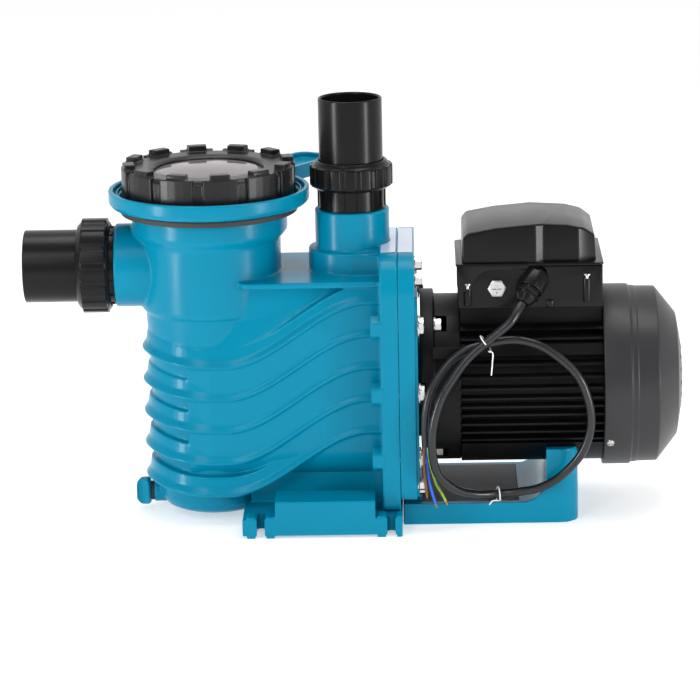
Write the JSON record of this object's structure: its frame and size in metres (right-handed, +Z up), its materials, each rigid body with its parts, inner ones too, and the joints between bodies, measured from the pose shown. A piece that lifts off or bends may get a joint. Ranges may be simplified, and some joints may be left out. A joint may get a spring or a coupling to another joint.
{
  "type": "swimming pool pump",
  "caption": "Self-priming pool pump: ribbed strainer pot with see-through lid and lock ring, pipe unions, finned fan-cooled motor, terminal box and tied supply lead.",
  "frame": {"origin": "floor level under the middle of the pump foot, on the foot's middle pad", "axes": "+X from the suction union to the motor's fan cover, +Y to the rear, away from the supply lead, +Z up"},
  "size_m": [0.6512, 0.2755, 0.4167],
  "materials": {
    "teal_plastic": "semi-gloss moulded",
    "black_plastic": "satin moulded",
    "charcoal_paint": "satin paint",
    "motor_paint": "satin black paint on cast aluminium",
    "rubber": "matt",
    "mat_rubber": "matt",
    "clear_plastic": "clear",
    "basket_plastic": "matt moulded",
    "stainless": "brushed",
    "ceramic": "lapped",
    "filled_plastic": "moulded",
    "winding_copper": "enamelled",
    "laminated_steel": "stamped",
    "label_film": "blank film",
    "capacitor_can": "moulded",
    "cord_sheath": "satin",
    "insulation_brown": "satin",
    "insulation_blue": "satin",
    "insulation_green_yellow": "satin",
    "tie_white": "satin"
  },
  "bodies": {
    "base": {"cable_gland": "black_plastic", "casing_bolt_1": "stainless", "casing_bolt_2": "stainless", "casing_bolt_3": "stainless", "casing_bolt_4": "stainless", "casing_bolt_5": "stainless", "casing_bolt_6": "stainless", "casing_gasket": "rubber", "collar_gasket": "rubber", "diffuser": "filled_plastic", "discharge_adapter": "black_plastic", "discharge_oring": "rubber", "fan_cover": "charcoal_paint", "front_bearing": "stainless", "front_shield": "motor_paint", "lid_collar": "teal_plastic", "motor_bolt_1": "stainless", "motor_bolt_2": "stainless", "motor_support": "teal_plastic", "power_cable": "cord_sheath", "pump_casing": "teal_plastic", "pump_foot": "teal_plastic", "rating_label": "label_film", "rear_bearing": "stainless", "rear_shield": "motor_paint", "run_capacitor": "capacitor_can", "seal_plate": "teal_plastic", "seal_seat": "ceramic", "stator_core": "laminated_steel", "stator_housing": "motor_paint", "stator_winding": "winding_copper", "suction_adapter": "black_plastic", "suction_oring": "rubber", "terminal_block": "basket_plastic", "terminal_box_base": "black_plastic", "terminal_box_cover": "black_plastic", "twist_tie_1": "tie_white", "twist_tie_2": "tie_white", "vibration_mat": "mat_rubber", "wear_ring": "ceramic", "wire_blue": "insulation_blue", "wire_brown": "insulation_brown", "wire_green_yellow": "insulation_green_yellow"},
    "rotor": {"motor_shaft": "stainless", "rotor_core": "laminated_steel", "impeller": "filled_plastic", "impeller_screw": "stainless", "seal_head": "stainless", "cooling_fan": "black_plastic"},
    "lid": {"lid_window": "clear_plastic", "lid_oring": "rubber"},
    "lock_ring": {"lock_ring": "black_plastic"},
    "basket": {"strainer_basket": "basket_plastic"},
    "suction_tail": {"suction_tailpiece": "black_plastic"},
    "suction_nut": {"suction_nut": "black_plastic"},
    "discharge_tail": {"discharge_tailpiece": "black_plastic"},
    "discharge_nut": {"discharge_nut": "black_plastic"},
    "drain_seal": {"drain_oring": "rubber"},
    "drain_plug": {"drain_plug": "teal_plastic"}
  },
  "joints": [
    {"name": "motor_spin", "type": "hinge", "parent": "base", "child": "rotor", "pos_m": [0.1, 0, 0.1325], "axis": [1, 0, 0], "continuous": true},
    {"name": "lid_lift", "type": "slide", "parent": "base", "child": "lid", "axis": [0, 0, 1], "range_m": [0, 0.4]},
    {"name": "lock_ring_turn", "type": "hinge", "parent": "lid", "child": "lock_ring", "pos_m": [-0.1084, 0, 0.34], "axis": [0, 0, 1], "range_deg": [0, 90]},
    {"name": "basket_lift", "type": "slide", "parent": "base", "child": "basket", "axis": [0, 0, 1], "range_m": [0, 0.24]},
    {"name": "suction_tail_slide", "type": "slide", "parent": "base", "child": "suction_tail", "axis": [-1, 0, 0], "range_m": [0, 0.06]},
    {"name": "suction_nut_turn", "type": "hinge", "parent": "suction_tail", "child": "suction_nut", "pos_m": [-0.22, 0, 0.2515], "axis": [-1, 0, 0], "continuous": true},
    {"name": "discharge_tail_slide", "type": "slide", "parent": "base", "child": "discharge_tail", "axis": [0, 0, 1], "range_m": [0, 0.06]},
    {"name": "discharge_nut_turn", "type": "hinge", "parent": "discharge_tail", "child": "discharge_nut", "pos_m": [0.0328, 0, 0.34], "axis": [0, 0, 1], "continuous": true},
    {"name": "drain_travel", "type": "slide", "parent": "base", "child": "drain_seal", "axis": [-1, 0, 0], "range_m": [0, 0.0161]},
    {"name": "drain_plug_turn", "type": "hinge", "parent": "drain_seal", "child": "drain_plug", "pos_m": [-0.18, 0, 0.018], "axis": [-1, 0, 0], "range_deg": [0, 2880]}
  ],
  "couplings": [
    {"joint": "basket_lift", "follows": "lid_lift", "ratio": 0.6},
    {"joint": "drain_travel", "follows": "drain_plug_turn", "m_per_rad": 0.000318}
  ]
}
